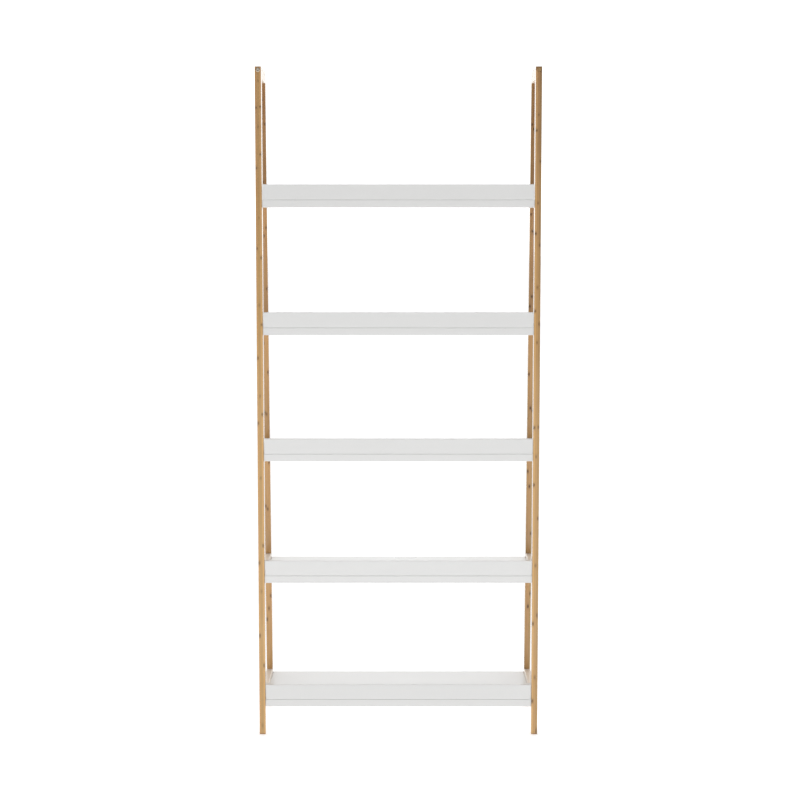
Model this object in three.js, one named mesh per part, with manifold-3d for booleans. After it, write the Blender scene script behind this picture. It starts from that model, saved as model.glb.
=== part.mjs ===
// Ladder shelf: two A-shaped side frames, with bamboo rails and white bars, carry five white trays.
// Millimetres, +Z up, front towards -Y. Origin on the floor, in the middle of the footprint.

import * as THREE from 'three';
import * as BufferGeometryUtils from 'three/addons/utils/BufferGeometryUtils.js';
import Module from 'manifold-3d';

const wasm = await Module();
wasm.setup();

// Driving dimensions of the whole shelf
const WIDTH = 700;
const HEIGHT = 1659;
const FOOT_DEPTH = 275;
const HEAD_DEPTH = 157;
const FLOOR_HEIGHTS = [90, 405, 711, 1024, 1337];
const GAP = 0.3;

// Bamboo rails and white bars
const RAIL_WIDTH = 15.5;
const RAIL_DEPTH = 28;
const BAR_HEIGHT = 32;
const TOP_BAR_HEIGHT = 30;
const EDGE_RADIUS = 1;
const TENON_LENGTH = 12;
const TENON_WIDTH = 8;
const TENON_HEIGHT = 16;
const TOP_TENON_HEIGHT = 12;
const TOP_TENON_DROP = 21;

// Trays
const BOARD_THICKNESS = 18;
const LIP_THICKNESS = 18;
const LIP_HEIGHT = 38;
const TRAY_EDGE_RADIUS = 0.8;
const TRAY_SET_BACK = 0.5;
const LIP_END_GAP = 1.2;
const TONGUE_WIDTH = 6;
const TONGUE_HEIGHT = 7;

// Screws, plug and glides
const SCREW_LENGTH = 50;
const SCREW_RADIUS = 3.5;
const SCREW_TIP = 4;
const HEAD_RADIUS = 5.5;
const HEAD_RIM = 0.8;
const HEAD_CONE = 2.2;
const SOCKET_RADIUS = 2.4;
const SOCKET_DEPTH = 2.4;
const TRAY_SCREW_SPREAD = 0.55;
const TOP_SCREW_DROP = 8;
const HEAD_RECESS = 0.2;
const PLUG_THICKNESS = 2.5;
const GLIDE_RADIUS = 6;
const GLIDE_THICKNESS = 1.5;
const GLIDE_PIN_RADIUS = 1.5;
const GLIDE_PIN_LENGTH = 12;
const ROUND_SIDES = 12;
const CORNER_SEGMENTS = 2;

// Worked out from the driving dimensions
const LEAN = (FOOT_DEPTH - HEAD_DEPTH) / 2 / HEIGHT;
const LEAN_ANGLE = Math.atan(LEAN);
const FRAME_X = (WIDTH - RAIL_WIDTH) / 2;
const TRAY_LENGTH = WIDTH - 2 * RAIL_WIDTH - 2 * GAP;
const LIP_LENGTH = WIDTH - 2 * RAIL_WIDTH - 2 * LIP_END_GAP;
const SIDES = [{ name: 'left', x: -1 }, { name: 'right', x: 1 }];
const ENDS = [{ name: 'front', y: -1 }, { name: 'rear', y: 1 }];

// Half the outer depth of a side frame at a height, and half the clear depth between its rails
const outerHalf = (z) => FOOT_DEPTH / 2 - LEAN * z;
const innerHalf = (z) => outerHalf(z) - RAIL_DEPTH;

const bamboo = () => new THREE.MeshStandardMaterial({ color: 0xbd9464, roughness: 0.45, metalness: 0 });
const lacquer = () => new THREE.MeshStandardMaterial({ color: 0xf0f0ee, roughness: 0.4, metalness: 0 });
const nickel = () => new THREE.MeshStandardMaterial({ color: 0xc9c8c4, roughness: 0.3, metalness: 1 });
const nylon = () => new THREE.MeshStandardMaterial({ color: 0xe4e1da, roughness: 0.5, metalness: 0 });

const shelf = new THREE.Group();

// A closed three.js geometry as a manifold solid
function solidOf(geometry) {
  const bare = geometry.clone();
  bare.deleteAttribute('normal');
  bare.deleteAttribute('uv');
  const merged = BufferGeometryUtils.mergeVertices(bare, 1e-4);
  return new wasm.Manifold(new wasm.Mesh({
    numProp: 3,
    vertProperties: new Float32Array(merged.attributes.position.array),
    triVerts: new Uint32Array(merged.index.array),
  }));
}

// A manifold solid as a three.js geometry
function geometryOf(solid) {
  const mesh = solid.getMesh();
  const geometry = new THREE.BufferGeometry();
  geometry.setAttribute('position', new THREE.BufferAttribute(new Float32Array(mesh.vertProperties), 3));
  geometry.setIndex(new THREE.BufferAttribute(new Uint32Array(mesh.triVerts), 1));
  geometry.computeVertexNormals();
  return geometry;
}

function addMesh(name, geometry, material) {
  const mesh = new THREE.Mesh(geometry, material);
  mesh.name = name;
  shelf.add(mesh);
  return mesh;
}

// A rectangle about the origin with rounded corners
function roundedRectangle(width, height, radius) {
  const x = width / 2;
  const y = height / 2;
  const shape = new THREE.Shape();
  shape.moveTo(-x + radius, -y);
  shape.lineTo(x - radius, -y);
  shape.absarc(x - radius, -y + radius, radius, -Math.PI / 2, 0);
  shape.lineTo(x, y - radius);
  shape.absarc(x - radius, y - radius, radius, 0, Math.PI / 2);
  shape.lineTo(-x + radius, y);
  shape.absarc(-x + radius, y - radius, radius, Math.PI / 2, Math.PI);
  shape.lineTo(-x, -y + radius);
  shape.absarc(-x + radius, -y + radius, radius, Math.PI, Math.PI * 1.5);
  return shape;
}

function extrude(shape, depth) {
  return new THREE.ExtrudeGeometry(shape, {
    depth,
    bevelEnabled: false,
    curveSegments: CORNER_SEGMENTS,
  });
}

// An outline drawn in (y, z) and run along x, centred on x = 0
function extrudeAlongX(shape, length) {
  const geometry = extrude(shape, length);
  geometry.translate(0, 0, -length / 2);
  geometry.rotateX(Math.PI / 2);
  geometry.rotateZ(Math.PI / 2);
  return geometry;
}

function box(width, depth, height, x, y, z) {
  const geometry = new THREE.BoxGeometry(width, depth, height);
  geometry.translate(x, y, z);
  return solidOf(geometry);
}

// A solid turned about its own +Z axis from a profile of [radius, height] pairs
function turned(profile) {
  const points = profile.map(([radius, height]) => new THREE.Vector2(radius, height));
  const geometry = new THREE.LatheGeometry(points, ROUND_SIDES);
  geometry.rotateX(Math.PI / 2);
  return geometry;
}

// The outline of a screw, or of the hole it needs when a clearance is given
function screwProfile(clearance) {
  const neck = HEAD_RIM + HEAD_CONE;
  return [
    [0, -(SCREW_LENGTH + clearance)],
    [SCREW_RADIUS - 2 + clearance, -(SCREW_LENGTH + clearance)],
    [SCREW_RADIUS + clearance, -(SCREW_LENGTH - SCREW_TIP)],
    [SCREW_RADIUS + clearance, -neck],
    [HEAD_RADIUS + clearance, -HEAD_RIM],
    [HEAD_RADIUS + clearance, 0],
    [0, 0],
  ];
}

// Screw with its head at z = 0 looking along +Z, with a hexagonal socket
function screwGeometry() {
  const socket = new THREE.CylinderGeometry(SOCKET_RADIUS, SOCKET_RADIUS, 2 * SOCKET_DEPTH, 6);
  socket.rotateX(Math.PI / 2);
  const solid = solidOf(turned(screwProfile(0))).subtract(solidOf(socket));
  return geometryOf(solid);
}

// The hole for a screw, opened outwards past the face that the head sits in
function screwHole(matrix, opening) {
  const profile = screwProfile(GAP);
  profile.splice(-2, 2, [HEAD_RADIUS + GAP, opening], [0, opening]);
  const geometry = turned(profile);
  geometry.applyMatrix4(matrix);
  return solidOf(geometry);
}

// A turned piece's place: its +Z axis along a direction, its head at a point
function placement(direction, point) {
  const turn = new THREE.Quaternion().setFromUnitVectors(new THREE.Vector3(0, 0, 1), direction);
  return new THREE.Matrix4().compose(point, turn, new THREE.Vector3(1, 1, 1));
}

// Screws through a side bar into the end of a tray board
function trayScrews(index) {
  const z = FLOOR_HEIGHTS[index] - BOARD_THICKNESS / 2;
  const screws = [];
  for (const side of SIDES) {
    for (const end of ENDS) {
      const point = new THREE.Vector3(
        side.x * (WIDTH / 2 - HEAD_RECESS),
        end.y * innerHalf(z) * TRAY_SCREW_SPREAD,
        z,
      );
      screws.push({
        name: `tray_screw_${index + 1}_${side.name}_${end.name}`,
        side,
        matrix: placement(new THREE.Vector3(side.x, 0, 0), point),
      });
    }
  }
  return screws;
}

// The front right head screw lies deeper, under a bamboo plug
const isPlugged = (side, end) => side.name === 'right' && end.name === 'front';

// Screw through the head of a rail into the end of the top bar, square to the leaning rail
function headScrew(side, end) {
  const z = HEIGHT - TOP_SCREW_DROP;
  const direction = new THREE.Vector3(0, end.y * Math.cos(LEAN_ANGLE), Math.sin(LEAN_ANGLE));
  const face = new THREE.Vector3(side.x * FRAME_X, end.y * outerHalf(z), z);
  const plugDepth = isPlugged(side, end) ? PLUG_THICKNESS + GAP : 0;
  const point = face.clone().addScaledVector(direction, -(HEAD_RECESS + plugDepth));
  return {
    name: `head_screw_${side.name}_${end.name}`,
    matrix: placement(direction, point),
    plugMatrix: placement(direction, face.addScaledVector(direction, -HEAD_RECESS)),
  };
}

// Bars of a side frame, from the lowest tray up to the top bar
const bars = FLOOR_HEIGHTS.map((floor, index) => ({
  name: `side_bar_${index + 1}`,
  low: floor - BOARD_THICKNESS,
  height: BAR_HEIGHT,
  tenonZ: floor - BOARD_THICKNESS + BAR_HEIGHT / 2,
  tenonHeight: TENON_HEIGHT,
  tray: index,
}));
bars.push({
  name: 'top_bar',
  low: HEIGHT - TOP_BAR_HEIGHT,
  height: TOP_BAR_HEIGHT,
  tenonZ: HEIGHT - TOP_TENON_DROP,
  tenonHeight: TOP_TENON_HEIGHT,
  tray: null,
});

// A leaning rail, cut level at both ends, with mortises for the bars
function railGeometry(side, end) {
  const bottom = GLIDE_THICKNESS + GAP;
  const section = extrude(roundedRectangle(RAIL_WIDTH, RAIL_DEPTH, EDGE_RADIUS), HEIGHT - bottom);
  section.translate(side.x * FRAME_X, end.y * (FOOT_DEPTH - RAIL_DEPTH) / 2, bottom);
  section.applyMatrix4(new THREE.Matrix4().makeShear(0, 0, 0, 0, 0, -end.y * LEAN));
  let rail = solidOf(section);

  for (const bar of bars) {
    const reach = TENON_LENGTH + GAP;
    const overshoot = RAIL_DEPTH / 4;
    const mortiseY = end.y * (innerHalf(bar.tenonZ) + (reach - overshoot) / 2);
    const width = TENON_WIDTH + 2 * GAP;
    const height = bar.tenonHeight + 2 * GAP;
    const mortise = box(width, reach + overshoot, height, side.x * FRAME_X, mortiseY, bar.tenonZ);
    rail = rail.subtract(mortise);
  }

  const opening = HEAD_RECESS + PLUG_THICKNESS * 2;
  rail = rail.subtract(screwHole(headScrew(side, end).matrix, opening));

  const pinHole = turned([
    [0, bottom - 1],
    [GLIDE_PIN_RADIUS + GAP, bottom - 1],
    [GLIDE_PIN_RADIUS + GAP, GLIDE_THICKNESS + GLIDE_PIN_LENGTH + GAP],
    [0, GLIDE_THICKNESS + GLIDE_PIN_LENGTH + GAP],
  ]);
  pinHole.translate(side.x * FRAME_X, end.y * (FOOT_DEPTH - RAIL_DEPTH) / 2, 0);
  return geometryOf(rail.subtract(solidOf(pinHole)));
}

// A bar between the two rails of a side frame, with a stub tenon at each end
function barGeometry(bar, side) {
  const middle = bar.low + bar.height / 2;
  const run = extrude(roundedRectangle(RAIL_WIDTH, bar.height, EDGE_RADIUS), FOOT_DEPTH);
  run.translate(0, 0, -FOOT_DEPTH / 2);
  run.rotateX(Math.PI / 2);
  run.translate(side.x * FRAME_X, 0, middle);

  const below = bar.low - 1;
  const above = bar.low + bar.height + 1;
  const wedge = new THREE.Shape();
  wedge.moveTo(-innerHalf(below) + GAP, below);
  wedge.lineTo(innerHalf(below) - GAP, below);
  wedge.lineTo(innerHalf(above) - GAP, above);
  wedge.lineTo(-innerHalf(above) + GAP, above);
  wedge.closePath();
  let solid = solidOf(run).intersect(solidOf(extrudeAlongX(wedge, 2 * WIDTH)));

  const tenonSpan = 2 * (innerHalf(bar.tenonZ) + TENON_LENGTH - GAP);
  solid = solid.add(box(TENON_WIDTH, tenonSpan, bar.tenonHeight, side.x * FRAME_X, 0, bar.tenonZ));

  if (bar.tray === null) {
    for (const end of ENDS) {
      solid = solid.subtract(screwHole(headScrew(side, end).matrix, 1));
    }
  } else {
    for (const screw of trayScrews(bar.tray)) {
      if (screw.side === side) solid = solid.subtract(screwHole(screw.matrix, 1));
    }
  }
  return geometryOf(solid);
}

// Front and rear faces of a tray: flush with the front rails at the top of the lip
function trayReach(floor) {
  return {
    front: -outerHalf(floor + LIP_HEIGHT) + TRAY_SET_BACK,
    rear: outerHalf(floor + LIP_HEIGHT) - TRAY_SET_BACK,
  };
}

// Middle of the tongue, which runs along the lip's back face
const tongueY = (front) => front + LIP_THICKNESS - TONGUE_WIDTH / 2;

// Tray board, with a groove near its front edge for the lip's tongue
function boardGeometry(index) {
  const floor = FLOOR_HEIGHTS[index];
  const { front, rear } = trayReach(floor);
  const section = roundedRectangle(rear - front, BOARD_THICKNESS, TRAY_EDGE_RADIUS);
  const board = extrudeAlongX(section, TRAY_LENGTH);
  board.translate(0, (front + rear) / 2, floor - BOARD_THICKNESS / 2);
  const grooveDepth = TONGUE_HEIGHT + GAP;
  const grooveWidth = TONGUE_WIDTH + 2 * GAP;
  let solid = solidOf(board);
  solid = solid.subtract(box(WIDTH, grooveWidth, 2 * grooveDepth, 0, tongueY(front), floor));
  for (const screw of trayScrews(index)) {
    solid = solid.subtract(screwHole(screw.matrix, 1));
  }
  return geometryOf(solid);
}

// Front lip, standing on the board, with a tongue along its underside
function lipGeometry(index) {
  const floor = FLOOR_HEIGHTS[index];
  const { front } = trayReach(floor);
  const height = LIP_HEIGHT - GAP;
  const lip = extrudeAlongX(roundedRectangle(LIP_THICKNESS, height, TRAY_EDGE_RADIUS), LIP_LENGTH);
  lip.translate(0, front + LIP_THICKNESS / 2, floor + GAP + height / 2);
  const tongue = box(LIP_LENGTH, TONGUE_WIDTH, 2 * TONGUE_HEIGHT, 0, tongueY(front), floor);
  return geometryOf(solidOf(lip).add(tongue));
}

// Round glide with a pin pushed into the foot of a rail
function glideGeometry() {
  return turned([
    [0, 0],
    [GLIDE_RADIUS - 0.5, 0],
    [GLIDE_RADIUS, 0.5],
    [GLIDE_RADIUS, GLIDE_THICKNESS],
    [GLIDE_PIN_RADIUS, GLIDE_THICKNESS],
    [GLIDE_PIN_RADIUS, GLIDE_THICKNESS + GLIDE_PIN_LENGTH],
    [0, GLIDE_THICKNESS + GLIDE_PIN_LENGTH],
  ]);
}

function addPlaced(name, geometry, material, matrix) {
  const mesh = addMesh(name, geometry, material);
  matrix.decompose(mesh.position, mesh.quaternion, mesh.scale);
}

// Side frames
for (const side of SIDES) {
  for (const end of ENDS) {
    addMesh(`${end.name}_rail_${side.name}`, railGeometry(side, end), bamboo());
    addPlaced(headScrew(side, end).name, screwGeometry(), nickel(), headScrew(side, end).matrix);
    const glide = addMesh(`foot_glide_${end.name}_${side.name}`, glideGeometry(), nylon());
    glide.position.set(side.x * FRAME_X, end.y * (FOOT_DEPTH - RAIL_DEPTH) / 2, 0);
    if (isPlugged(side, end)) {
      const plug = turned([
        [0, -PLUG_THICKNESS],
        [HEAD_RADIUS, -PLUG_THICKNESS],
        [HEAD_RADIUS, 0],
        [0, 0],
      ]);
      addPlaced('screw_plug', plug, bamboo(), headScrew(side, end).plugMatrix);
    }
  }
  for (const bar of bars) {
    addMesh(`${bar.name}_${side.name}`, barGeometry(bar, side), lacquer());
  }
}

// Trays
FLOOR_HEIGHTS.forEach((floor, index) => {
  addMesh(`tray_board_${index + 1}`, boardGeometry(index), lacquer());
  addMesh(`tray_lip_${index + 1}`, lipGeometry(index), lacquer());
  for (const screw of trayScrews(index)) {
    addPlaced(screw.name, screwGeometry(), nickel(), screw.matrix);
  }
});

export default shelf;
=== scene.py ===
"""Ladder shelf: finishes, fine hardware and a plain studio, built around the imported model."""

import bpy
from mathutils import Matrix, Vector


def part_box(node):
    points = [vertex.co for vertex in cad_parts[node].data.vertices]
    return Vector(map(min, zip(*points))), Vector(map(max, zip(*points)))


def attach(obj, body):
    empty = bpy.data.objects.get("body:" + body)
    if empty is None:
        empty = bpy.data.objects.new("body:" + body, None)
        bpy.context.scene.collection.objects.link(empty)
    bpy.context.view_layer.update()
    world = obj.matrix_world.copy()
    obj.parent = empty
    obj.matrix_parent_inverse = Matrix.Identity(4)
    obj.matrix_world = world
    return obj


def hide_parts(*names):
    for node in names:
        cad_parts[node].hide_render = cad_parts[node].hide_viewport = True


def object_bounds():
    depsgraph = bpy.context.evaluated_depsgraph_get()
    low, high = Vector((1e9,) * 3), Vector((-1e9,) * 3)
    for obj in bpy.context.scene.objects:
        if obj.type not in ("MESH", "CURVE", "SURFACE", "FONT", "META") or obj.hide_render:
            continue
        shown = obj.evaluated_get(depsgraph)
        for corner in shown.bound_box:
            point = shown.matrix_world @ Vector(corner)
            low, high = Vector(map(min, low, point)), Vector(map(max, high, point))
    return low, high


bl_info = {
    "name": "Ladder Shelf Finish",
    "version": (1, 0, 0),
    "blender": (4, 5, 0),
    "location": "3D Viewport > Sidebar > Shelf",
    "description": "Finishes a bamboo and white ladder shelf and sets up its studio",
    "category": "Object",
}

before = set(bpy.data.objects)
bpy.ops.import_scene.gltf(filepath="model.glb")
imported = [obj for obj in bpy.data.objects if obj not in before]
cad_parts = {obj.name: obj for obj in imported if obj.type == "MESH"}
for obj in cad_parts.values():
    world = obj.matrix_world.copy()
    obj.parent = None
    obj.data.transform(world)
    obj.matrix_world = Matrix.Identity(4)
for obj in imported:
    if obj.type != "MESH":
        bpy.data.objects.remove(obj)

import math

import bmesh
import bpy
from bpy.props import FloatProperty, FloatVectorProperty, PointerProperty
from mathutils import Vector

CAD_BOX = [list(corner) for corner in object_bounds()]

MM = 0.001
SIDES = ("left", "right")
ENDS = ("front", "rear")
TRAY_COUNT = sum(1 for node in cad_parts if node.startswith("tray_board_"))

# Edges that turn by more than this are eased. The facets of round holes turn by less.
SHARP_EDGE = math.radians(60)

# Sockets of a colour Mix node, which share their names with its other sockets.
MIX_FACTOR = 0
MIX_A = 6
MIX_B = 7
MIX_RESULT = 2


def linear(hex_code):
    """An sRGB hex code as the linear red, green and blue that shaders use."""
    channels = []
    for start in (1, 3, 5):
        value = int(hex_code[start : start + 2], 16) / 255
        dark = value / 12.92
        bright = ((value + 0.055) / 1.055) ** 2.4
        channels.append(dark if value <= 0.04045 else bright)
    return channels


# ---------------------------------------------------------------- settings


class BambooSettings(bpy.types.PropertyGroup):
    """Laminated bamboo under clear gloss lacquer."""

    pale: FloatVectorProperty(
        name="Pale strip",
        description="Colour of the palest bamboo strips",
        subtype="COLOR",
        default=linear("#DBAE71"),
    )
    honey: FloatVectorProperty(
        name="Honey strip",
        description="Colour of the ordinary bamboo strips",
        subtype="COLOR",
        default=linear("#BE9262"),
    )
    brown: FloatVectorProperty(
        name="Brown strip",
        description="Colour of the brownest bamboo strips",
        subtype="COLOR",
        default=linear("#8C6140"),
    )
    ring: FloatVectorProperty(
        name="Growth ring",
        description="Colour that a growth ring is tinted with",
        subtype="COLOR",
        default=linear("#55381F"),
    )
    olive: FloatVectorProperty(
        name="Olive strip",
        description="Colour that strips from near the skin of the culm lean towards",
        subtype="COLOR",
        default=linear("#A89A62"),
    )
    ply: FloatProperty(
        name="Ply",
        description="Thickness of one ply, seen as a stripe on the narrow faces",
        unit="LENGTH",
        default=5.2 * MM,
    )
    strip: FloatProperty(
        name="Strip",
        description="Width of one strip on the broad faces",
        unit="LENGTH",
        default=17 * MM,
    )
    ring_spacing: FloatProperty(
        name="Ring spacing",
        description="Usual distance between two growth rings of a strip",
        unit="LENGTH",
        default=235 * MM,
    )
    fade: FloatProperty(
        name="Fade",
        description="How much browner a rail's head is than its middle, as a share of the range",
        default=0.45,
    )
    edge_ease: FloatProperty(
        name="Edge ease",
        description="Width of the sanded round on the edges of rails and around their holes",
        unit="LENGTH",
        default=0.6 * MM,
    )


class LacquerSettings(bpy.types.PropertyGroup):
    """White lacquer sprayed on fibreboard trays and wooden bars."""

    white: FloatVectorProperty(
        name="White",
        description="Colour of the trays",
        subtype="COLOR",
        default=linear("#EAEAE9"),
    )
    # Painted reflection: the warm tint of the bars stands in for the bamboo rails reflected in, and
    # bouncing light onto, the white lacquer.
    bamboo_bounce_white: FloatVectorProperty(
        name="Warm white",
        description="Colour of the bars, where the lacquer lies over wood",
        subtype="COLOR",
        default=linear("#F4E6D6"),
    )
    peel: FloatProperty(
        name="Peel",
        description="Width of the faint ripples that spraying leaves",
        unit="LENGTH",
        default=3 * MM,
    )
    edge_ease: FloatProperty(
        name="Edge ease",
        description="Width of the softened edges of trays and bars",
        unit="LENGTH",
        default=0.5 * MM,
    )


class HardwareSettings(bpy.types.PropertyGroup):
    """Screws, plug and glides."""

    nickel: FloatVectorProperty(
        name="Nickel",
        description="Colour of the screws' plating",
        subtype="COLOR",
        default=linear("#D9CBB8"),
    )
    nylon: FloatVectorProperty(
        name="Nylon",
        description="Colour of the glides",
        subtype="COLOR",
        default=linear("#E6E2D8"),
    )
    socket: FloatProperty(
        name="Socket",
        description="Distance across the flats of a screw's socket",
        unit="LENGTH",
        default=4.2 * MM,
    )


class StudioSettings(bpy.types.PropertyGroup):
    """Floor, light and camera."""

    distance: FloatProperty(
        name="Distance",
        description="Distance from the camera to the front feet",
        unit="LENGTH",
        default=4.033,
    )
    height: FloatProperty(
        name="Height",
        description="Height of the camera above the floor",
        unit="LENGTH",
        default=1.2815,
    )
    pitch: FloatProperty(
        name="Pitch",
        description="Angle by which the camera looks down",
        subtype="ANGLE",
        default=math.radians(7.16),
    )
    lens: FloatProperty(
        name="Lens",
        description="Focal length on a sensor 36 mm wide",
        unit="CAMERA",
        default=74.25,
    )
    rise: FloatProperty(
        name="Rise",
        description="Upward shift of the lens, as a share of the frame",
        default=0.0375,
    )
    slide: FloatProperty(
        name="Slide",
        description="Sideways shift of the lens, as a share of the frame",
        default=0.002,
    )
    backdrop: FloatProperty(
        name="Backdrop",
        description="Brightness of the white wall behind the shelf",
        default=1.5,
    )
    room: FloatProperty(
        name="Room",
        description="Brightness of the rest of the studio",
        default=0.39,
    )
    key_power: FloatProperty(
        name="Key power",
        description="Power of the soft light at the upper left",
        unit="POWER",
        default=8.0,
    )
    low_power: FloatProperty(
        name="Low power",
        description="Power of the soft light low down in front of the shelf",
        unit="POWER",
        default=4.2,
    )


# ---------------------------------------------------------------- nodes and materials


def add(tree, kind, inputs=None, **settings):
    """Adds a node, sets its properties, and gives each named input a value or a link."""
    node = tree.nodes.new(kind)
    for name, value in settings.items():
        setattr(node, name, value)
    for key, value in (inputs or {}).items():
        if isinstance(value, bpy.types.NodeSocket):
            tree.links.new(value, node.inputs[key])
        else:
            node.inputs[key].default_value = value
    return node


def new_material(name, finish):
    """A material with one Principled shader, whose uniform values are in finish."""
    material = bpy.data.materials.new(name)
    material.use_nodes = True
    tree = material.node_tree
    tree.nodes.clear()
    shader = add(tree, "ShaderNodeBsdfPrincipled", finish)
    add(tree, "ShaderNodeOutputMaterial", {"Surface": shader.outputs["BSDF"]})
    return material, tree, shader


def set_ramp(ramp, stops):
    """Gives a colour ramp its stops, each a place and a linear colour."""
    elements = ramp.color_ramp.elements
    while len(elements) < len(stops):
        elements.new(1.0)
    for element, (place, colour) in zip(elements, stops):
        element.position = place
        element.color = (*colour, 1.0)


def laminated_bamboo(name, middle, grain, length, tones, seed):
    """Laminated bamboo, planed, sanded and sprayed with clear gloss lacquer.

    Narrow faces show the plies as stripes and broad faces show flat strips, each in its own
    shade. Growth rings cross every strip, fibres run along it, and cut ends are darker. The
    piece lies with its middle at a point and its fibres along a direction. Its tones, from 0 for
    brown to 1 for pale, are a shade at its middle, a step from each ply to the next one along X,
    and a fade towards its head.
    """
    tone, step, fade = tones
    bamboo = bpy.context.scene.shelf_bamboo
    dark = (*bamboo.ring, 1.0)
    # The lacquer carries the gloss. The wood under it has nearly the same index, so adds little.
    finish = {"IOR": 1.5, "Specular IOR Level": 0.1}
    finish |= {"Coat Weight": 1.0, "Coat Roughness": 0.1, "Coat IOR": 1.5}
    material, tree, shader = new_material(name, finish)
    math_node = "ShaderNodeMath"

    # The piece's own axes: X across the plies, Y across the strips, Z along the fibres.
    place = add(tree, "ShaderNodeTexCoord")
    tilt = math.atan2(-grain.y, grain.z)
    local = add(
        tree,
        "ShaderNodeMapping",
        {"Vector": place.outputs["Object"], "Location": middle, "Rotation": (tilt, 0, 0)},
        vector_type="TEXTURE",
    )
    axes = add(tree, "ShaderNodeSeparateXYZ", {"Vector": local.outputs["Vector"]})

    # Which ply and which strip a point lies in, and that strip's own random values. One ply is
    # centred on the piece, and the strips of each ply are staggered against the next ply's.
    stagger = 0.43
    shift = 0.31 * seed
    across_plies = add(
        tree,
        math_node,
        {0: axes.outputs["X"], 1: 1 / bamboo.ply, 2: 0.5},
        operation="MULTIPLY_ADD",
    )
    ply = add(tree, math_node, {0: across_plies.outputs[0]}, operation="FLOOR")
    offset = add(
        tree,
        math_node,
        {0: ply.outputs[0], 1: stagger, 2: shift},
        operation="MULTIPLY_ADD",
    )
    across_strips = add(
        tree,
        math_node,
        {0: axes.outputs["Y"], 1: 1 / bamboo.strip, 2: offset.outputs[0]},
        operation="MULTIPLY_ADD",
    )
    strip = add(tree, math_node, {0: across_strips.outputs[0]}, operation="FLOOR")
    strip_key = add(
        tree,
        "ShaderNodeCombineXYZ",
        {"X": ply.outputs[0], "Y": strip.outputs[0], "Z": float(seed)},
    )
    shade = add(
        tree,
        "ShaderNodeTexWhiteNoise",
        {"Vector": strip_key.outputs[0]},
        noise_dimensions="3D",
    )
    picks = add(tree, "ShaderNodeSeparateColor", {"Color": shade.outputs["Color"]})

    # Fibre bundles: real ones are 0.4 mm wide, drawn 0.9 mm wide so that they show.
    fibre_width = 0.9 * MM
    fibre_length = 70 * MM
    stretched = add(
        tree,
        "ShaderNodeVectorMath",
        {0: local.outputs["Vector"], 1: (1 / fibre_width, 1 / fibre_width, 1 / fibre_length)},
        operation="MULTIPLY",
    )
    fibre = add(
        tree,
        "ShaderNodeTexNoise",
        {"Vector": stretched.outputs[0], "Scale": 1.0, "Detail": 3.0, "Roughness": 0.6},
    )

    # Slow drift of the shade: over a hand's width along a strip, and over 17 mm across it,
    # which is 60 drifts to the metre.
    drifts = 60.0
    drift_length = 110 * MM
    drift_start = (0, 0, 3.7 * seed)
    drifting = add(
        tree,
        "ShaderNodeVectorMath",
        {0: local.outputs["Vector"], 1: (drifts, drifts, 1 / drift_length), 2: drift_start},
        operation="MULTIPLY_ADD",
    )
    drift = add(
        tree,
        "ShaderNodeTexNoise",
        {"Vector": drifting.outputs[0], "Scale": 1.0, "Detail": 2.0},
    )

    # Growth rings: one in each cell along the strip, off the middle of the cell by a random part.
    # They stand closer together towards the head, as they do up a culm, and wave a little. Each
    # strip's cells start at a random place of its own.
    wave_height = 3 * MM
    wave_length = 5 * MM
    crowding = 0.18
    most_cells_off = 9.0
    wavy = add(
        tree,
        "ShaderNodeTexNoise",
        {"Vector": local.outputs["Vector"], "Scale": 1 / wave_length, "Detail": 1.0},
    )
    waved = add(
        tree,
        math_node,
        {0: wavy.outputs[0], 1: wave_height, 2: axes.outputs["Z"]},
        operation="MULTIPLY_ADD",
    )
    crowded = add(
        tree,
        math_node,
        {0: axes.outputs["Z"], 1: crowding, 2: 1.0},
        operation="MULTIPLY_ADD",
    )
    start = add(
        tree,
        math_node,
        {0: picks.outputs["Red"], 1: most_cells_off},
        operation="MULTIPLY",
    )
    spaced = add(
        tree,
        math_node,
        {0: waved.outputs[0], 1: crowded.outputs[0]},
        operation="MULTIPLY",
    )
    along = add(
        tree,
        math_node,
        {0: spaced.outputs[0], 1: 1 / bamboo.ring_spacing, 2: start.outputs[0]},
        operation="MULTIPLY_ADD",
    )
    cell = add(tree, math_node, {0: along.outputs[0]}, operation="FLOOR")
    cell_key = add(
        tree,
        "ShaderNodeCombineXYZ",
        {"X": cell.outputs[0], "Y": shade.outputs["Value"], "Z": float(seed)},
    )
    jitter = add(
        tree,
        "ShaderNodeTexWhiteNoise",
        {"Vector": cell_key.outputs[0]},
        noise_dimensions="3D",
    )
    ring_place = add(
        tree,
        math_node,
        {0: jitter.outputs["Value"], 1: 0.5, 2: 0.25},
        operation="MULTIPLY_ADD",
    )
    inside = add(tree, math_node, {0: along.outputs[0]}, operation="FRACT")
    off_ring = add(
        tree,
        math_node,
        {0: inside.outputs[0], 1: ring_place.outputs[0]},
        operation="SUBTRACT",
    )
    distance = add(tree, math_node, {0: off_ring.outputs[0]}, operation="ABSOLUTE")

    # Each ring is a dark line in a faint halo twice as wide.
    ring_reach = 6.5 * MM / bamboo.ring_spacing
    ring = add(
        tree,
        "ShaderNodeMapRange",
        {"Value": distance.outputs[0], "From Max": ring_reach, "To Min": 1.0, "To Max": 0.0},
        interpolation_type="SMOOTHSTEP",
    )
    halo = add(
        tree,
        "ShaderNodeMapRange",
        {"Value": distance.outputs[0], "From Max": 2 * ring_reach, "To Min": 1.0, "To Max": 0.0},
        interpolation_type="SMOOTHSTEP",
    )

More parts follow.
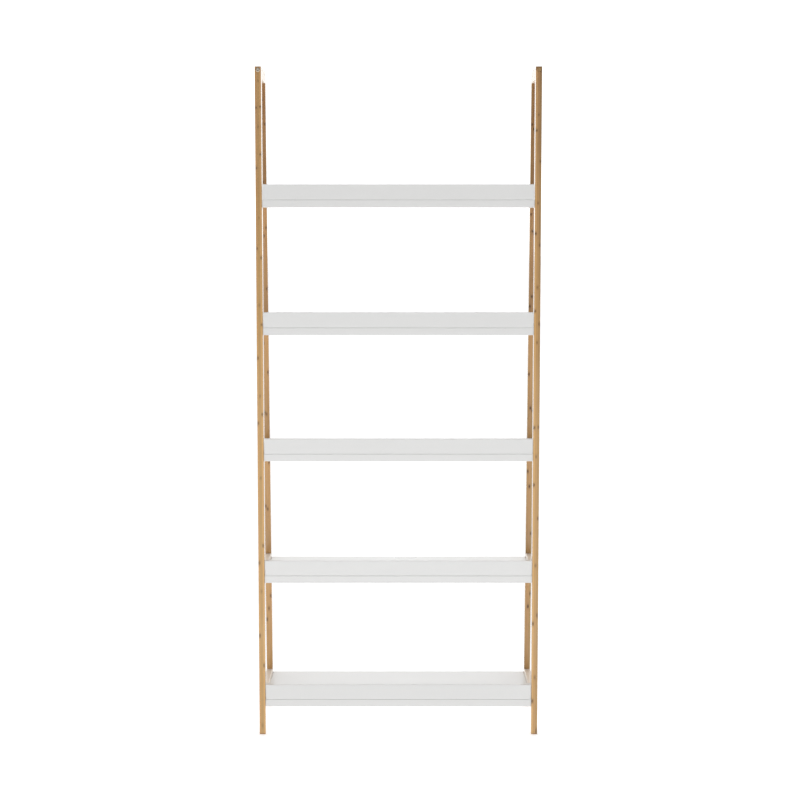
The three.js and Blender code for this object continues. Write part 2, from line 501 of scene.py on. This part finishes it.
    # Glue lines between plies and between strips, drawn 0.5 mm wide so that they show.
    half_seam = 0.25 * MM
    ply_reach = half_seam / bamboo.ply
    strip_reach = half_seam / bamboo.strip
    ply_edge = add(tree, math_node, {0: across_plies.outputs[0], 1: 0.5}, operation="PINGPONG")
    ply_seam = add(
        tree,
        "ShaderNodeMapRange",
        {"Value": ply_edge.outputs[0], "From Max": ply_reach, "To Min": 1.0, "To Max": 0.0},
    )
    strip_edge = add(tree, math_node, {0: across_strips.outputs[0], 1: 0.5}, operation="PINGPONG")
    strip_seam = add(
        tree,
        "ShaderNodeMapRange",
        {"Value": strip_edge.outputs[0], "From Max": strip_reach, "To Min": 1.0, "To Max": 0.0},
    )
    seam = add(
        tree,
        math_node,
        {0: ply_seam.outputs[0], 1: strip_seam.outputs[0]},
        operation="MAXIMUM",
    )

    # Shade of a point: its ply's, its strip's own, the fade to the head, the drift and the fibres.
    # The drift, the fibres and the strips each average half their depth, so the ground is lower.
    drift_depth = 0.4
    fibre_depth = 0.4
    strip_depth = 0.3
    ground = tone - (drift_depth + fibre_depth + strip_depth) / 2
    drifted = add(
        tree,
        math_node,
        {0: drift.outputs[0], 1: drift_depth, 2: ground},
        operation="MULTIPLY_ADD",
    )
    fibred = add(
        tree,
        math_node,
        {0: fibre.outputs[0], 1: fibre_depth, 2: drifted.outputs[0]},
        operation="MULTIPLY_ADD",
    )
    stripped = add(
        tree,
        math_node,
        {0: shade.outputs["Value"], 1: strip_depth, 2: fibred.outputs[0]},
        operation="MULTIPLY_ADD",
    )
    plied = add(
        tree,
        math_node,
        {0: ply.outputs[0], 1: step, 2: stripped.outputs[0]},
        operation="MULTIPLY_ADD",
    )
    headward = add(
        tree,
        "ShaderNodeMapRange",
        {"Value": axes.outputs["Z"], "From Max": length / 2, "To Max": fade},
    )
    faded = add(
        tree,
        math_node,
        {0: plied.outputs[0], 1: headward.outputs[0]},
        operation="SUBTRACT",
    )
    ramp = add(tree, "ShaderNodeValToRGB", {"Fac": faded.outputs[0]})
    set_ramp(ramp, [(0.0, bamboo.brown), (0.4, bamboo.honey), (1.0, bamboo.pale)])

    # Every other strip, more or less, leans towards olive.
    olive_share = add(
        tree,
        "ShaderNodeMapRange",
        {"Value": picks.outputs["Green"], "From Min": 0.5, "To Max": 0.35},
    )
    olive = (*bamboo.olive, 1.0)
    hued = add(
        tree,
        "ShaderNodeMix",
        {MIX_FACTOR: olive_share.outputs[0], MIX_A: ramp.outputs["Color"], MIX_B: olive},
        data_type="RGBA",
    )

    # Rings are deeper on some strips than on others. Glue lines are fainter than rings.
    ring_strength = 0.6
    halo_strength = 0.25
    seam_strength = 0.35
    halo_share = add(
        tree,
        math_node,
        {0: halo.outputs[0], 1: halo_strength},
        operation="MULTIPLY",
    )
    ring_mark = add(
        tree,
        math_node,
        {0: ring.outputs[0], 1: ring_strength, 2: halo_share.outputs[0]},
        operation="MULTIPLY_ADD",
    )
    ring_depth = add(
        tree,
        "ShaderNodeMapRange",
        {"Value": picks.outputs["Blue"], "To Min": 0.25, "To Max": 1.1},
    )
    ring_share = add(
        tree,
        math_node,
        {0: ring_mark.outputs[0], 1: ring_depth.outputs[0]},
        operation="MULTIPLY",
    )
    seam_share = add(
        tree,
        math_node,
        {0: seam.outputs[0], 1: seam_strength},
        operation="MULTIPLY",
    )
    marked = add(
        tree,
        "ShaderNodeMix",
        {MIX_FACTOR: ring_share.outputs[0], MIX_A: hued.outputs[MIX_RESULT], MIX_B: dark},
        data_type="RGBA",
    )
    seamed = add(
        tree,
        "ShaderNodeMix",
        {MIX_FACTOR: seam_share.outputs[0], MIX_A: marked.outputs[MIX_RESULT], MIX_B: dark},
        data_type="RGBA",
    )

    # Cut ends: the fibre bundles show as dark dots in a browner ground. The last few
    # millimetres of the sides, next to each end, are darker as well.
    dot_spacing = 1.1 * MM
    end_band_start = length / 2 - 3 * MM
    end_band_full = length / 2 - 1 * MM
    facing = add(
        tree,
        "ShaderNodeVectorMath",
        {0: place.outputs["Normal"], 1: grain},
        operation="DOT_PRODUCT",
    )
    squareness = add(tree, math_node, {0: facing.outputs["Value"]}, operation="ABSOLUTE")
    cut_end = add(
        tree,
        "ShaderNodeMapRange",
        {"Value": squareness.outputs[0], "From Min": 0.8, "From Max": 0.95},
    )
    dots = add(
        tree,
        "ShaderNodeTexVoronoi",
        {"Vector": local.outputs["Vector"], "Scale": 1 / dot_spacing},
    )
    dotted = add(
        tree,
        "ShaderNodeMapRange",
        {
            "Value": dots.outputs["Distance"],
            "From Min": 0.2,
            "From Max": 0.5,
            "To Min": 0.6,
            "To Max": 0.3,
        },
    )
    end_share = add(
        tree,
        math_node,
        {0: cut_end.outputs[0], 1: dotted.outputs[0]},
        operation="MULTIPLY",
    )
    from_middle = add(tree, math_node, {0: axes.outputs["Z"]}, operation="ABSOLUTE")
    end_band = add(
        tree,
        "ShaderNodeMapRange",
        {
            "Value": from_middle.outputs[0],
            "From Min": end_band_start,
            "From Max": end_band_full,
            "To Max": 0.5,
        },
    )
    dark_share = add(
        tree,
        math_node,
        {0: end_share.outputs[0], 1: end_band.outputs[0]},
        operation="MAXIMUM",
    )
    coloured = add(
        tree,
        "ShaderNodeMix",
        {MIX_FACTOR: dark_share.outputs[0], MIX_A: seamed.outputs[MIX_RESULT], MIX_B: dark},
        data_type="RGBA",
    )
    tree.links.new(coloured.outputs[MIX_RESULT], shader.inputs["Base Color"])

    # Sanding leaves the fibres a little proud and the glue lines and rings a little deep.
    seam_drop = -0.6
    ring_drop = -0.4
    raised = add(
        tree,
        math_node,
        {0: seam.outputs[0], 1: seam_drop, 2: fibre.outputs[0]},
        operation="MULTIPLY_ADD",
    )
    relief = add(
        tree,
        math_node,
        {0: ring.outputs[0], 1: ring_drop, 2: raised.outputs[0]},
        operation="MULTIPLY_ADD",
    )
    bump = add(
        tree,
        "ShaderNodeBump",
        {"Height": relief.outputs[0], "Strength": 0.35, "Distance": 0.15 * MM},
    )
    tree.links.new(bump.outputs["Normal"], shader.inputs["Normal"])
    satin = add(
        tree,
        "ShaderNodeMapRange",
        {
            "Value": fibre.outputs[0],
            "From Min": 0.3,
            "From Max": 0.7,
            "To Min": 0.34,
            "To Max": 0.5,
        },
    )
    tree.links.new(satin.outputs[0], shader.inputs["Roughness"])
    return material


def white_lacquer(name, white):
    """White lacquer sprayed on fibreboard or wood and left satin.

    The film is smooth and even. Its tint and its gloss drift over a quarter of a metre, as the
    passes of the spray gun overlap, and spraying leaves faint ripples.
    """
    lacquer = bpy.context.scene.shelf_lacquer
    material, tree, shader = new_material(name, {"IOR": 1.5})
    place = add(tree, "ShaderNodeTexCoord")
    clouds = add(
        tree,
        "ShaderNodeTexNoise",
        {"Vector": place.outputs["Object"], "Scale": 1 / (240 * MM), "Detail": 0.0},
    )
    tint = add(tree, "ShaderNodeValToRGB", {"Fac": clouds.outputs[0]})
    duller = [0.985 * channel for channel in white]
    set_ramp(tint, [(0.1, duller), (0.9, white)])
    tree.links.new(tint.outputs["Color"], shader.inputs["Base Color"])
    gloss = add(
        tree,
        "ShaderNodeMapRange",
        {
            "Value": clouds.outputs[0],
            "From Min": 0.1,
            "From Max": 0.9,
            "To Min": 0.27,
            "To Max": 0.31,
        },
    )
    tree.links.new(gloss.outputs[0], shader.inputs["Roughness"])
    ripples = add(
        tree,
        "ShaderNodeTexNoise",
        {"Vector": place.outputs["Object"], "Scale": 1 / lacquer.peel, "Detail": 1.0},
    )
    bump = add(
        tree,
        "ShaderNodeBump",
        {"Height": ripples.outputs[0], "Strength": 0.15, "Distance": 0.015 * MM},
    )
    tree.links.new(bump.outputs["Normal"], shader.inputs["Normal"])
    return material


def plated_nickel():
    """Steel screws with bright nickel plate over turned heads, slightly uneven in gloss."""
    hardware = bpy.context.scene.shelf_hardware
    material, tree, shader = new_material("nickel_plated_steel", {"Metallic": 1.0})
    place = add(tree, "ShaderNodeTexCoord")
    # Grain of the plate: real grains are finer, drawn 0.5 mm wide so that they show.
    grain = add(
        tree,
        "ShaderNodeTexNoise",
        {"Vector": place.outputs["Object"], "Scale": 1 / (0.5 * MM), "Detail": 2.0},
    )
    tint = add(tree, "ShaderNodeValToRGB", {"Fac": grain.outputs[0]})
    duller = [0.9 * channel for channel in hardware.nickel]
    set_ramp(tint, [(0.3, duller), (0.7, hardware.nickel)])
    tree.links.new(tint.outputs["Color"], shader.inputs["Base Color"])
    gloss = add(
        tree,
        "ShaderNodeMapRange",
        {
            "Value": grain.outputs[0],
            "From Min": 0.3,
            "From Max": 0.7,
            "To Min": 0.2,
            "To Max": 0.36,
        },
    )
    tree.links.new(gloss.outputs[0], shader.inputs["Roughness"])
    bump = add(
        tree,
        "ShaderNodeBump",
        {"Height": grain.outputs[0], "Strength": 0.2, "Distance": 0.03 * MM},
    )
    tree.links.new(bump.outputs["Normal"], shader.inputs["Normal"])
    return material


def moulded_nylon():
    """Natural nylon moulded in a lightly textured tool: milky, matt, with faint flow clouds."""
    hardware = bpy.context.scene.shelf_hardware
    finish = {"IOR": 1.53, "Subsurface Weight": 0.1, "Subsurface Scale": 1.5 * MM}
    material, tree, shader = new_material("natural_nylon", finish)
    place = add(tree, "ShaderNodeTexCoord")
    flow = add(
        tree,
        "ShaderNodeTexNoise",
        {"Vector": place.outputs["Object"], "Scale": 1 / (4 * MM), "Detail": 2.0},
    )
    tint = add(tree, "ShaderNodeValToRGB", {"Fac": flow.outputs[0]})
    duller = [0.92 * channel for channel in hardware.nylon]
    set_ramp(tint, [(0.3, duller), (0.7, hardware.nylon)])
    tree.links.new(tint.outputs["Color"], shader.inputs["Base Color"])
    # Texture of the tool: real pits are 0.1 mm wide, drawn 0.6 mm wide so that they show.
    pits = add(
        tree,
        "ShaderNodeTexNoise",
        {"Vector": place.outputs["Object"], "Scale": 1 / (0.6 * MM)},
    )
    gloss = add(
        tree,
        "ShaderNodeMapRange",
        {
            "Value": pits.outputs[0],
            "From Min": 0.3,
            "From Max": 0.7,
            "To Min": 0.42,
            "To Max": 0.58,
        },
    )
    tree.links.new(gloss.outputs[0], shader.inputs["Roughness"])
    bump = add(
        tree,
        "ShaderNodeBump",
        {"Height": pits.outputs[0], "Strength": 0.3, "Distance": 0.05 * MM},
    )
    tree.links.new(bump.outputs["Normal"], shader.inputs["Normal"])
    return material


# ---------------------------------------------------------------- pieces


def finish_piece(piece, material, slot, *nodes):
    """Gives a new piece its material and lets it stand for its CAD nodes. The slot is not used."""
    piece.data.materials.clear()
    piece.data.materials.append(material)
    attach(piece, "root")
    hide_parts(*nodes)


def new_piece(name, data):
    """A new object in the scene, which holds a mesh or a lamp."""
    piece = bpy.data.objects.new(name, data)
    bpy.context.scene.collection.objects.link(piece)
    return piece


def eased_piece(node, ease):
    """A copy of a CAD node with whole faces, its sharp edges eased by a small round."""
    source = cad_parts[node].data
    mesh = bpy.data.meshes.new(f"{node}_eased")
    points = [vertex.co[:] for vertex in source.vertices]
    mesh.from_pydata(points, [], [face.vertices[:] for face in source.polygons])
    work = bmesh.new()
    work.from_mesh(mesh)
    bmesh.ops.remove_doubles(work, verts=work.verts, dist=0.001 * MM)
    bmesh.ops.dissolve_limit(
        work, angle_limit=math.radians(0.5), verts=work.verts, edges=work.edges
    )
    bmesh.ops.recalc_face_normals(work, faces=work.faces)
    work.to_mesh(mesh)
    work.free()
    mesh.shade_smooth()
    mesh.set_sharp_from_angle(angle=SHARP_EDGE)
    piece = new_piece(f"{node}_eased", mesh)
    bevel = piece.modifiers.new("eased_edges", "BEVEL")
    bevel.width = ease
    bevel.segments = 3
    bevel.limit_method = "ANGLE"
    bevel.angle_limit = SHARP_EDGE
    weights = piece.modifiers.new("flat_faces_stay_flat", "WEIGHTED_NORMAL")
    weights.keep_sharp = True
    weights.weight = 100
    return piece


def revolved_mesh(name, rings, sides):
    """A closed mesh turned about +Z, from rings of a radius and a height, point to point.

    A radius may be a number or a function of the angle.
    """
    work = bmesh.new()
    loops = []
    for radius, height in rings:
        if radius == 0:
            loops.append([work.verts.new((0, 0, height))])
            continue
        loop = []
        for side in range(sides):
            angle = math.tau * side / sides
            reach = radius(angle) if callable(radius) else radius
            loop.append(work.verts.new((reach * math.cos(angle), reach * math.sin(angle), height)))
        loops.append(loop)
    for first, second in zip(loops, loops[1:]):
        for side in range(sides):
            after = (side + 1) % sides
            corners = [first[side % len(first)], first[after % len(first)]]
            corners += [second[after % len(second)], second[side % len(second)]]
            work.faces.new(list(dict.fromkeys(corners)))
    bmesh.ops.recalc_face_normals(work, faces=work.faces)
    mesh = bpy.data.meshes.new(name)
    work.to_mesh(mesh)
    work.free()
    mesh.shade_smooth()
    mesh.set_sharp_from_angle(angle=math.radians(35))
    return mesh


def outermost(node, direction):
    """Middle of the face of a CAD node that lies furthest along a direction."""
    points = [vertex.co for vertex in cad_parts[node].data.vertices]
    reach = max(point.dot(direction) for point in points)
    slack = 0.01 * MM
    face = [point for point in points if point.dot(direction) > reach - slack]
    low = Vector(min(point[axis] for point in face) for axis in range(3))
    high = Vector(max(point[axis] for point in face) for axis in range(3))
    return (low + high) / 2


def place_along(piece, direction, point):
    """Turns a piece's +Z axis along a direction and puts its origin at a point."""
    piece.rotation_mode = "QUATERNION"
    piece.rotation_quaternion = direction.to_track_quat("Z", "Y")
    piece.location = point
    bpy.context.view_layer.update()


def rail_axis(node):
    """Middle, direction and length of the line up the middle of a rail."""
    points = [vertex.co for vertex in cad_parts[node].data.vertices]
    low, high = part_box(node)
    foot = [point.y for point in points if point.z < low.z + MM]
    head = [point.y for point in points if point.z > high.z - MM]
    x = (low.x + high.x) / 2
    bottom = Vector((x, (min(foot) + max(foot)) / 2, low.z))
    top = Vector((x, (min(head) + max(head)) / 2, high.z))
    return (bottom + top) / 2, (top - bottom).normalized(), (top - bottom).length


def outward(node):
    """Direction in which a screw head or plug faces, square to the wood that it sits in."""
    if node.startswith("tray_screw"):
        return Vector((-1 if "_left" in node else 1, 0, 0))
    if node.endswith("_rear"):
        axis = rail_axis("rear_rail_left")[1]
        return Vector((0, axis.z, -axis.y))
    axis = rail_axis("front_rail_left")[1]
    return Vector((0, -axis.z, axis.y))


class SHELF_OT_rails(bpy.types.Operator):
    """Finish the four leaning bamboo rails"""

    bl_idname = "shelf.rails"
    bl_label = "Rails"

    def execute(self, context):
        bamboo = context.scene.shelf_bamboo
        # No two rails are cut from the same culm, so each has its own shade. Each also has its
        # own step of shade from ply to ply, which leaves its inner plies paler than its outer ones.
        shades = {
            "front_rail_left": (0.82, 0.05),
            "front_rail_right": (0.7, -0.32),
            "rear_rail_left": (0.6, 0.1),
            "rear_rail_right": (0.55, -0.1),
        }
        for seed, (node, (tone, step)) in enumerate(shades.items(), start=1):
            middle, grain, length = rail_axis(node)
            tones = (tone, step, bamboo.fade)
            material = laminated_bamboo(f"bamboo_{node}", middle, grain, length, tones, seed)
            piece = eased_piece(node, bamboo.edge_ease)
            finish_piece(piece, material, "bamboo", node)
        return {"FINISHED"}


class SHELF_OT_bars(bpy.types.Operator):
    """Finish the white bars that join the rails"""

    bl_idname = "shelf.bars"
    bl_label = "Bars"

    def execute(self, context):
        lacquer = context.scene.shelf_lacquer
        # The bars' warm tint is a painted reflection of the bamboo rails around them.
        material = white_lacquer("white_lacquered_wood", lacquer.bamboo_bounce_white)
        names = [f"side_bar_{index}" for index in range(1, TRAY_COUNT + 1)]
        names.append("top_bar")
        for node in [f"{name}_{side}" for name in names for side in SIDES]:
            piece = eased_piece(node, lacquer.edge_ease)
            finish_piece(piece, material, "white_lacquer", node)
        return {"FINISHED"}


class SHELF_OT_trays(bpy.types.Operator):
    """Finish the white boards and their front lips"""

    bl_idname = "shelf.trays"
    bl_label = "Trays"

    def execute(self, context):
        lacquer = context.scene.shelf_lacquer
        material = white_lacquer("white_lacquered_fibreboard", lacquer.white)
        for index in range(1, TRAY_COUNT + 1):
            for node in (f"tray_board_{index}", f"tray_lip_{index}"):
                piece = eased_piece(node, lacquer.edge_ease)
                finish_piece(piece, material, "white_lacquer", node)
        return {"FINISHED"}


class SHELF_OT_screws(bpy.types.Operator):
    """Turn the screws with their sunk heads and hexagonal sockets"""

    bl_idname = "shelf.screws"
    bl_label = "Screws"

    def execute(self, context):
        socket = context.scene.shelf_hardware.socket
        nodes = [name for name in sorted(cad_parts) if "_screw_" in name]
        low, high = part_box("tray_screw_1_left_front")
        # Radii of the head, the shank and the tip.
        head = (high.y - low.y) / 2
        shank = 3.5 * MM
        tip = 1.5 * MM
        # Depths below the face of the head: the socket with its drilled bottom and widened mouth,
        # the rounded rim, the land below it, and the cone down to the shank.
        depth = 2.4 * MM
        drilled = 3.0 * MM
        mouth = 0.35 * MM
        corner = 0.15 * MM
        rim = 0.5 * MM
        land = 0.8 * MM
        cone = 3.0 * MM
        length = high.x - low.x
        taper = 4 * MM

        def hexagon(angle):
            return socket / 2 / math.cos(angle % (math.tau / 6) - math.tau / 12)

        def open_hexagon(angle):
            return hexagon(angle) + mouth

        rings = [
            (0, -drilled),
            (hexagon, -depth),
            (hexagon, -mouth),
            (open_hexagon, 0),
            (head - rim, 0),
            (head - corner, -corner),
            (head, -rim),
            (head, -land),
            (shank, -cone),
            (shank, -(length - taper)),
            (tip, -length),
            (0, -length),
        ]
        mesh = revolved_mesh("sunk_head_screw", rings, 36)
        material = plated_nickel()
        for node in nodes:
            direction = outward(node)
            piece = new_piece(f"{node}_turned", mesh)
            place_along(piece, direction, outermost(node, direction))
            finish_piece(piece, material, "nickel_steel", node)
        return {"FINISHED"}


class SHELF_OT_plug(bpy.types.Operator):
    """Turn the bamboo plug over the sunk front screw"""

    bl_idname = "shelf.plug"
    bl_label = "Plug"

    def execute(self, context):
        low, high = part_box("screw_plug")
        radius = (high.x - low.x) / 2
        direction = outward("screw_plug")
        depth = 2.5 * MM
        ease = 0.3 * MM
        crown = 0.05 * MM
        rings = [
            (0, -depth),
            (radius - ease, -depth),
            (radius, -(depth - ease)),
            (radius, -ease),
            (radius - ease, -crown),
            (0, 0),
        ]
        piece = new_piece("screw_plug_turned", revolved_mesh("plug", rings, 48))
        place_along(piece, direction, outermost("screw_plug", direction))
        # The plug shows the cut end of a brown strip. It is cut from a stick a metre long, so the
        # stick's own ends, and their darker sides, lie far from it.
        middle = Vector((0, 0, 0))
        grain = Vector((0, 1, 0))
        length = 1.0
        tones = (0.3, 0.0, 0.0)
        material = laminated_bamboo("bamboo_plug", middle, grain, length, tones, seed=31)
        finish_piece(piece, material, "bamboo", "screw_plug")
        return {"FINISHED"}


class SHELF_OT_glides(bpy.types.Operator):
    """Turn the nylon glides under the feet"""

    bl_idname = "shelf.glides"
    bl_label = "Glides"

    def execute(self, context):
        material = moulded_nylon()
        low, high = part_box("foot_glide_front_left")
        # Radii of the disc, the pin and its tip, then the disc's eased edge and thickness, and
        # the length over which the pin tapers.
        radius = (high.x - low.x) / 2
        pin = 1.5 * MM
        tip = 0.8 * MM
        ease = 0.6 * MM
        thickness = 1.5 * MM
        taper = 1 * MM
        rings = [
            (0, 0),
            (radius - ease, 0),
            (radius - ease / 4, ease / 3),
            (radius, ease),
            (radius, thickness),
            (pin, thickness),
            (pin, high.z - taper),
            (tip, high.z),
            (0, high.z),
        ]
        mesh = revolved_mesh("pin_glide", rings, 48)
        for end in ENDS:
            for side in SIDES:
                node = f"foot_glide_{end}_{side}"
                low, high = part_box(node)
                piece = new_piece(f"{node}_turned", mesh)
                piece.location = ((low.x + high.x) / 2, (low.y + high.y) / 2, 0)
                bpy.context.view_layer.update()
                finish_piece(piece, material, "nylon", node)
        return {"FINISHED"}


class SHELF_OT_studio(bpy.types.Operator):
    """Lay the white floor, light the studio and set the camera"""

    bl_idname = "shelf.studio"
    bl_label = "Studio"

    def execute(self, context):
        studio = context.scene.shelf_studio
        self.lay_floor()
        self.light(context.scene, studio)
        self.set_camera(context.scene, studio)
        context.scene.view_settings.view_transform = "Standard"
        context.scene.view_settings.look = "None"
        return {"FINISHED"}

    def lay_floor(self):
        """A wide, round, matt white floor that glows a little, so that it stays pale."""
        radius = 60.0
        work = bmesh.new()
        bmesh.ops.create_circle(work, cap_ends=True, radius=radius, segments=96)
        mesh = bpy.data.meshes.new("floor")
        work.to_mesh(mesh)
        work.free()
        floor = new_piece("floor", mesh)
        finish = {"Roughness": 1.0, "Specular IOR Level": 0.0, "Emission Strength": 0.55}
        material, tree, shader = new_material("matt_white_floor", finish)
        shader.inputs["Emission Color"].default_value = (1, 1, 1, 1)
        place = add(tree, "ShaderNodeTexCoord")
        mottle = add(
            tree,
            "ShaderNodeTexNoise",
            {"Vector": place.outputs["Object"], "Scale": 1 / (667 * MM)},
        )
        tint = add(tree, "ShaderNodeValToRGB", {"Fac": mottle.outputs[0]})
        set_ramp(tint, [(0.3, linear("#F4F4F4")), (0.7, linear("#FAFAFA"))])
        tree.links.new(tint.outputs["Color"], shader.inputs["Base Color"])
        mesh.materials.append(material)

    def light(self, scene, studio):
        """A bright backdrop in a dimmer white room, and two soft lights that stay out of view."""
        world = bpy.data.worlds.new("white_studio")
        world.use_nodes = True
        tree = world.node_tree
        tree.nodes.clear()
        direction = add(tree, "ShaderNodeTexCoord")
        axes = add(tree, "ShaderNodeSeparateXYZ", {"Vector": direction.outputs["Generated"]})
        # The room brightens into the backdrop from 17 to 37 degrees behind the shelf's own plane.
        strength = add(
            tree,
            "ShaderNodeMapRange",
            {
                "Value": axes.outputs["Y"],
                "From Min": 0.3,
                "From Max": 0.6,
                "To Min": studio.room,
                "To Max": studio.backdrop,
            },
        )
        background = add(
            tree,
            "ShaderNodeBackground",
            {"Color": (1, 1, 1, 1), "Strength": strength.outputs[0]},
        )
        add(tree, "ShaderNodeOutputWorld", {"Surface": background.outputs[0]})
        scene.world = world
        self.add_lamp(
            "soft_key",
            place=(-2.2, -3.0, 3.0),
            target=(0, 0, 0.8),
            size=(3.0, 2.0),
            power=studio.key_power,
        )
        self.add_lamp(
            "low_fill",
            place=(0, -1.7, 0.15),
            target=(0, 0, 0.1),
            size=(1.6, 0.4),
            power=studio.low_power,
        )

    def add_lamp(self, name, place, target, size, power):
        """A soft rectangular light at a place, facing a target, that neither shows nor reflects."""
        lamp = bpy.data.lights.new(name, "AREA")
        lamp.shape = "RECTANGLE"
        lamp.size, lamp.size_y = size
        lamp.energy = power
        holder = new_piece(name, lamp)
        holder.location = place
        holder.rotation_mode = "QUATERNION"
        holder.rotation_quaternion = (Vector(place) - Vector(target)).to_track_quat("Z", "Y")
        holder.visible_camera = False
        holder.visible_glossy = False

    def set_camera(self, scene, studio):
        """A long lens a little below the height of the top tray, looking slightly down."""
        lens = bpy.data.cameras.new("camera")
        lens.sensor_width = 36.0
        lens.lens = studio.lens
        lens.shift_x = studio.slide
        lens.shift_y = studio.rise
        lens.clip_end = 200.0
        camera = bpy.data.objects.new("camera", lens)
        scene.collection.objects.link(camera)
        camera.location = (0, CAD_BOX[0][1] - studio.distance, studio.height)
        camera.rotation_euler = (math.pi / 2 - studio.pitch, 0, 0)
        scene.camera = camera


class SHELF_PT_panel(bpy.types.Panel):
    """Buttons and settings for the shelf's pieces and its studio"""

    bl_idname = "SHELF_PT_panel"
    bl_label = "Ladder Shelf"
    bl_space_type = "VIEW_3D"
    bl_region_type = "UI"
    bl_category = "Shelf"

    def draw(self, context):
        for operator in OPERATORS:
            self.layout.operator(operator.bl_idname)
        for name, group in SETTINGS.items():
            box = self.layout.box()
            for prop in group.__annotations__:
                box.prop(getattr(context.scene, name), prop)


SETTINGS = {
    "shelf_bamboo": BambooSettings,
    "shelf_lacquer": LacquerSettings,
    "shelf_hardware": HardwareSettings,
    "shelf_studio": StudioSettings,
}
OPERATORS = (
    SHELF_OT_rails,
    SHELF_OT_bars,
    SHELF_OT_trays,
    SHELF_OT_screws,
    SHELF_OT_plug,
    SHELF_OT_glides,
    SHELF_OT_studio,
)
CLASSES = (*SETTINGS.values(), *OPERATORS, SHELF_PT_panel)


def register():
    """Registers every class and hangs the settings on the scene."""
    for cls in CLASSES:
        bpy.utils.register_class(cls)
    for name, group in SETTINGS.items():
        setattr(bpy.types.Scene, name, PointerProperty(type=group))


def unregister():
    """Takes the settings off the scene and unregisters every class."""
    for name in SETTINGS:
        delattr(bpy.types.Scene, name)
    for cls in reversed(CLASSES):
        bpy.utils.unregister_class(cls)


def main():
    """Makes every piece in order."""
    register()
    bpy.ops.shelf.rails()
    bpy.ops.shelf.bars()
    bpy.ops.shelf.trays()
    bpy.ops.shelf.screws()
    bpy.ops.shelf.plug()
    bpy.ops.shelf.glides()
    bpy.ops.shelf.studio()


if __name__ == "__main__":
    main()
